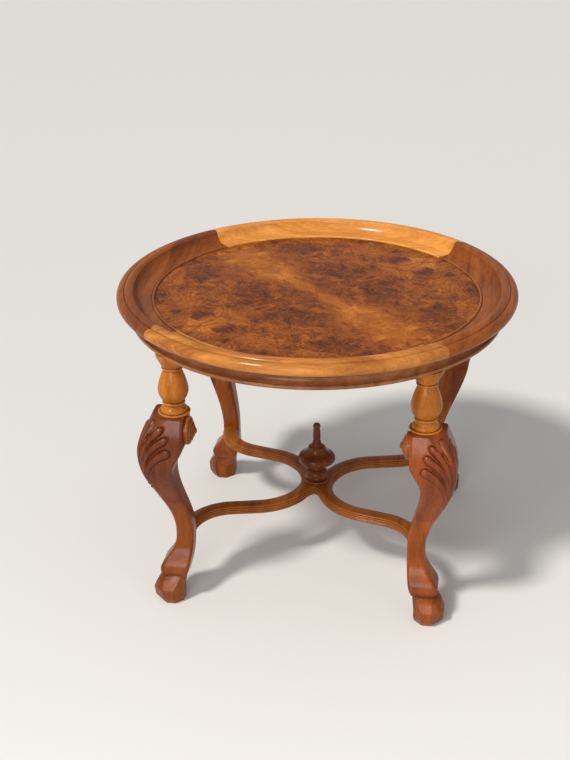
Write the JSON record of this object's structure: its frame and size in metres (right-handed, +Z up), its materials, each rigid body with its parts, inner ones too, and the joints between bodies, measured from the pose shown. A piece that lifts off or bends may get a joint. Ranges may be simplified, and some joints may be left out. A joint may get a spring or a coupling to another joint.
{
  "type": "tray top tea table",
  "caption": "Round tray top tea table with a moulded rim and burl veneered panel, on cabriole legs with turned tops, rosettes and hoof feet, joined by a curved stretcher with a finial.",
  "frame": {"origin": "on the floor, under the middle of the round top", "axes": "+Z up; -Y is the side seen as the front, where the left quarter of the rim (-X) is the one glued up from two boards; the legs stand on the diagonals"},
  "size_m": [0.7001, 0.7, 0.532],
  "materials": {
    "burl_veneer": "gloss lacquer",
    "finial_wood": "gloss lacquer",
    "screws": "zinc plated",
    "foot_wood": "gloss lacquer",
    "knee_wood": "gloss lacquer",
    "post_wood": "gloss lacquer",
    "rosette_wood": "gloss lacquer",
    "turned_wood": "gloss lacquer",
    "ring_wood": "gloss lacquer",
    "backing_veneer": "plain seal coat",
    "panel_core": "sanded board",
    "rim_golden": "gloss lacquer",
    "dowels": "plain",
    "rim_dark_board": "gloss lacquer",
    "rim_outer_board": "gloss lacquer",
    "rim_red": "gloss lacquer",
    "bow_wood": "gloss lacquer"
  },
  "bodies": {
    "root": {"burl_leaf_back": "burl_veneer", "burl_leaf_front": "burl_veneer", "burl_leaf_left": "burl_veneer", "burl_leaf_right": "burl_veneer", "finial": "finial_wood", "finial_screw": "screws", "leg_back_left_foot_face_block": "foot_wood", "leg_back_left_foot_side_block": "foot_wood", "leg_back_left_knee_face_block": "knee_wood", "leg_back_left_knee_side_block": "knee_wood", "leg_back_left_post": "post_wood", "leg_back_left_rosette_a": "rosette_wood", "leg_back_left_rosette_b": "rosette_wood", "leg_back_left_turned_top": "turned_wood", "leg_back_right_foot_face_block": "foot_wood", "leg_back_right_foot_side_block": "foot_wood", "leg_back_right_knee_face_block": "knee_wood", "leg_back_right_knee_side_block": "knee_wood", "leg_back_right_post": "post_wood", "leg_back_right_rosette_a": "rosette_wood", "leg_back_right_rosette_b": "rosette_wood", "leg_back_right_turned_top": "turned_wood", "leg_front_left_foot_face_block": "foot_wood", "leg_front_left_foot_side_block": "foot_wood", "leg_front_left_knee_face_block": "knee_wood", "leg_front_left_knee_side_block": "knee_wood", "leg_front_left_post": "post_wood", "leg_front_left_rosette_a": "rosette_wood", "leg_front_left_rosette_b": "rosette_wood", "leg_front_left_turned_top": "turned_wood", "leg_front_right_foot_face_block": "foot_wood", "leg_front_right_foot_side_block": "foot_wood", "leg_front_right_knee_face_block": "knee_wood", "leg_front_right_knee_side_block": "knee_wood", "leg_front_right_post": "post_wood", "leg_front_right_rosette_a": "rosette_wood", "leg_front_right_rosette_b": "rosette_wood", "leg_front_right_turned_top": "turned_wood", "moulded_ring_back_left": "ring_wood", "moulded_ring_back_right": "ring_wood", "moulded_ring_front_left": "ring_wood", "moulded_ring_front_right": "ring_wood", "panel_backing_veneer": "backing_veneer", "panel_core": "panel_core", "rim_back": "rim_golden", "rim_front": "rim_golden", "rim_joint_dowels": "dowels", "rim_left_inner_board": "rim_dark_board", "rim_left_outer_board": "rim_outer_board", "rim_right": "rim_red", "ring_joint_dowels": "dowels", "stretcher_bow_left": "bow_wood", "stretcher_bow_right": "bow_wood", "stretcher_joint_dowels": "dowels", "stretcher_leg_dowels": "dowels", "top_screws": "screws"}
  },
  "joints": []
}
